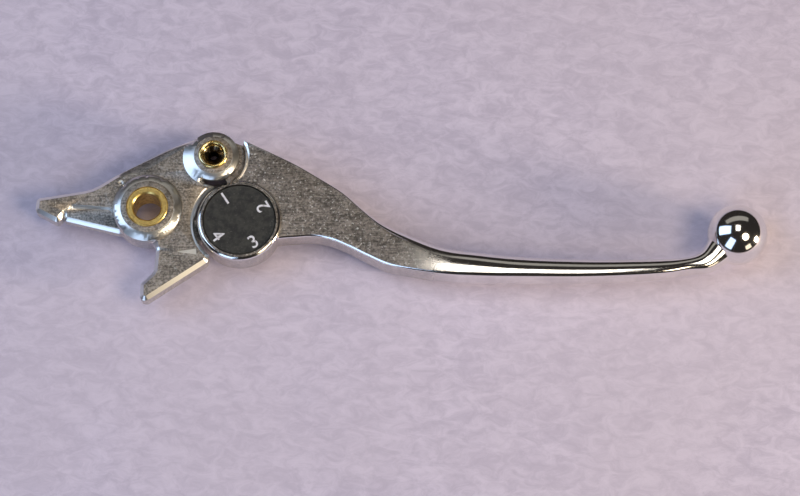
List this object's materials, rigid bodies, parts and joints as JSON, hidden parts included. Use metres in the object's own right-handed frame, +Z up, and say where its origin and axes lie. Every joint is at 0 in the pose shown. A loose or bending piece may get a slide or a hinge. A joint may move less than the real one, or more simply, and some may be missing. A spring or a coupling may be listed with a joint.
{
  "type": "brake lever",
  "caption": "Front brake lever: cast holder with switch arm and piston arm, numbered span dial, and a hinged blade that ends in a ball.",
  "frame": {"origin": "middle of the main pivot bore, on its axis", "axes": "+Z up the main pivot bore towards the numbered dial, +X along the blade to its ball end, +Y forward, away from the rider"},
  "size_m": [0.2107, 0.0502, 0.0174],
  "materials": {
    "holder_alloy": "tumbled casting with polished bevels",
    "blade_alloy": "cast root, mirror-polished grip and ball",
    "bronze": "sintered bronze bush",
    "zinc_steel": "yellow zinc plate",
    "hard_steel": "hardened and ground",
    "spring_steel": "bright spring steel",
    "black_steel": "oil-blackened",
    "black_anodised": "black anodised, satin, with white numerals",
    "shim_plastic": "natural nylon"
  },
  "bodies": {
    "holder": {"pivot_holder": "holder_alloy", "pivot_bush": "bronze", "contact_pin": "hard_steel", "upper_shim": "shim_plastic", "lower_shim": "shim_plastic", "return_spring": "spring_steel"},
    "pin": {"hinge_pin": "zinc_steel"},
    "blade": {"blade": "blade_alloy", "wave_washer": "spring_steel"},
    "dial": {"adjuster_dial": "black_anodised", "snail_cam": "hard_steel", "snap_ring": "black_steel"}
  },
  "joints": [
    {"name": "span_set", "type": "hinge", "parent": "holder", "child": "pin", "pos_m": [0.0187, 0.0156, 0], "axis": [0, 0, 1], "range_deg": [0, 7.5]},
    {"name": "blade_flip", "type": "hinge", "parent": "pin", "child": "blade", "pos_m": [0.0187, 0.0156, 0], "axis": [0, 0, 1], "range_deg": [0, 8], "stiffness_Nm_per_rad": 0.15, "springref_deg": -57.3},
    {"name": "dial_turn", "type": "hinge", "parent": "blade", "child": "dial", "pos_m": [0.0265, -0.004, 0], "axis": [0, 0, -1], "range_deg": [0, 270]}
  ],
  "couplings": [
    {"joint": "dial_turn", "follows": "span_set", "ratio": 36}
  ]
}
